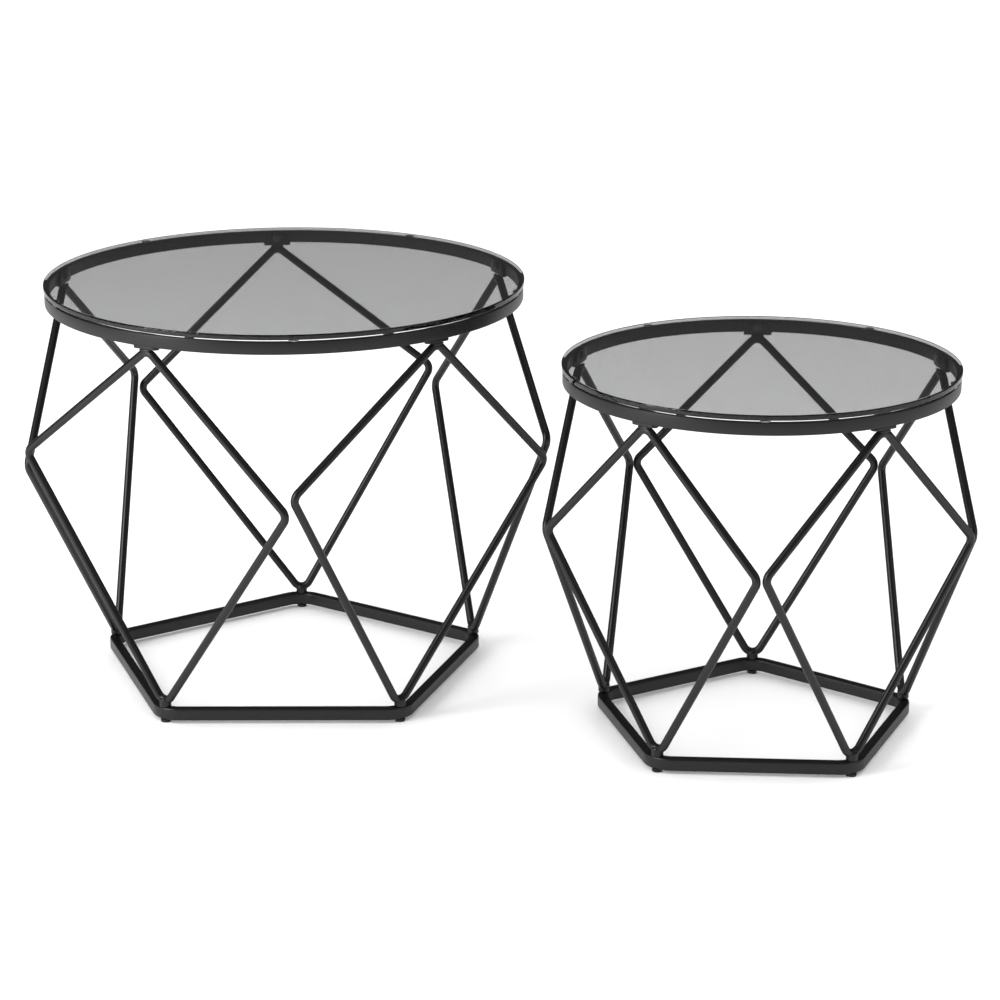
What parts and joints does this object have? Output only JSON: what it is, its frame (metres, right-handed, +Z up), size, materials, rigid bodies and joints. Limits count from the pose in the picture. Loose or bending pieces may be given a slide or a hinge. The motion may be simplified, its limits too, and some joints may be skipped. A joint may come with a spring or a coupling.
{
  "type": "nesting tables",
  "caption": "Pair of round smoked-glass side tables, one larger and taller, each on a black cage of bent rod loops between a hoop and a pentagonal base ring.",
  "frame": {"origin": "on the floor, under the middle of the pair's bounding box", "axes": "+Z up, +X from the large table towards the small one, -Y towards the side on which the small table stands further out"},
  "size_m": [0.962, 0.6522, 0.43],
  "materials": {
    "black_steel": "fine matt black powder coat",
    "screw_steel": "black coated screw, a little glossier than the frame",
    "smoked_glass": "grey tinted flat glass with a polished edge",
    "clear_plastic": "clear soft plastic",
    "black_plastic": "matt black moulded plastic"
  },
  "bodies": {
    "large_frame": {"large_top_hoop": "black_steel", "large_base_ring": "black_steel", "large_rod_loop_1": "black_steel", "large_rod_loop_2": "black_steel", "large_rod_loop_3": "black_steel", "large_rod_loop_4": "black_steel", "large_rod_loop_5": "black_steel", "large_loop_bracket_1": "black_steel", "large_loop_bracket_2": "black_steel", "large_loop_bracket_3": "black_steel", "large_loop_bracket_4": "black_steel", "large_loop_bracket_5": "black_steel", "large_bracket_screw_1": "screw_steel", "large_bracket_screw_2": "screw_steel", "large_bracket_screw_3": "screw_steel", "large_bracket_screw_4": "screw_steel", "large_bracket_screw_5": "screw_steel", "large_glass_pad_1": "clear_plastic", "large_glass_pad_2": "clear_plastic", "large_glass_pad_3": "clear_plastic", "large_glass_pad_4": "clear_plastic", "large_glass_pad_5": "clear_plastic"},
    "small_frame": {"small_top_hoop": "black_steel", "small_base_ring": "black_steel", "small_rod_loop_1": "black_steel", "small_rod_loop_2": "black_steel", "small_rod_loop_3": "black_steel", "small_rod_loop_4": "black_steel", "small_rod_loop_5": "black_steel", "small_loop_bracket_1": "black_steel", "small_loop_bracket_2": "black_steel", "small_loop_bracket_3": "black_steel", "small_loop_bracket_4": "black_steel", "small_loop_bracket_5": "black_steel", "small_bracket_screw_1": "screw_steel", "small_bracket_screw_2": "screw_steel", "small_bracket_screw_3": "screw_steel", "small_bracket_screw_4": "screw_steel", "small_bracket_screw_5": "screw_steel", "small_glass_pad_1": "clear_plastic", "small_glass_pad_2": "clear_plastic", "small_glass_pad_3": "clear_plastic", "small_glass_pad_4": "clear_plastic", "small_glass_pad_5": "clear_plastic"},
    "large_glass": {"large_glass_top": "smoked_glass"},
    "small_glass": {"small_glass_top": "smoked_glass"},
    "large_foot_1": {"large_levelling_foot_1": "black_plastic"},
    "large_foot_2": {"large_levelling_foot_2": "black_plastic"},
    "large_foot_3": {"large_levelling_foot_3": "black_plastic"},
    "large_foot_4": {"large_levelling_foot_4": "black_plastic"},
    "large_foot_5": {"large_levelling_foot_5": "black_plastic"},
    "small_foot_1": {"small_levelling_foot_1": "black_plastic"},
    "small_foot_2": {"small_levelling_foot_2": "black_plastic"},
    "small_foot_3": {"small_levelling_foot_3": "black_plastic"},
    "small_foot_4": {"small_levelling_foot_4": "black_plastic"},
    "small_foot_5": {"small_levelling_foot_5": "black_plastic"}
  },
  "joints": [
    {"name": "small_table_move", "type": "slide", "parent": "large_frame", "child": "small_frame", "axis": [0.939, -0.3439, 0], "range_m": [-0.025, 0.3]},
    {"name": "large_glass_lift", "type": "slide", "parent": "large_frame", "child": "large_glass", "axis": [0, 0, 1], "range_m": [0, 0.12]},
    {"name": "small_glass_lift", "type": "slide", "parent": "small_frame", "child": "small_glass", "axis": [0, 0, 1], "range_m": [0, 0.12]},
    {"name": "large_foot_1_screw", "type": "slide", "parent": "large_frame", "child": "large_foot_1", "axis": [0, 0, -1], "range_m": [0, 0.004]},
    {"name": "large_foot_2_screw", "type": "slide", "parent": "large_frame", "child": "large_foot_2", "axis": [0, 0, -1], "range_m": [0, 0.004]},
    {"name": "large_foot_3_screw", "type": "slide", "parent": "large_frame", "child": "large_foot_3", "axis": [0, 0, -1], "range_m": [0, 0.004]},
    {"name": "large_foot_4_screw", "type": "slide", "parent": "large_frame", "child": "large_foot_4", "axis": [0, 0, -1], "range_m": [0, 0.004]},
    {"name": "large_foot_5_screw", "type": "slide", "parent": "large_frame", "child": "large_foot_5", "axis": [0, 0, -1], "range_m": [0, 0.004]},
    {"name": "small_foot_1_screw", "type": "slide", "parent": "small_frame", "child": "small_foot_1", "axis": [0, 0, -1], "range_m": [0, 0.004]},
    {"name": "small_foot_2_screw", "type": "slide", "parent": "small_frame", "child": "small_foot_2", "axis": [0, 0, -1], "range_m": [0, 0.004]},
    {"name": "small_foot_3_screw", "type": "slide", "parent": "small_frame", "child": "small_foot_3", "axis": [0, 0, -1], "range_m": [0, 0.004]},
    {"name": "small_foot_4_screw", "type": "slide", "parent": "small_frame", "child": "small_foot_4", "axis": [0, 0, -1], "range_m": [0, 0.004]},
    {"name": "small_foot_5_screw", "type": "slide", "parent": "small_frame", "child": "small_foot_5", "axis": [0, 0, -1], "range_m": [0, 0.004]}
  ]
}
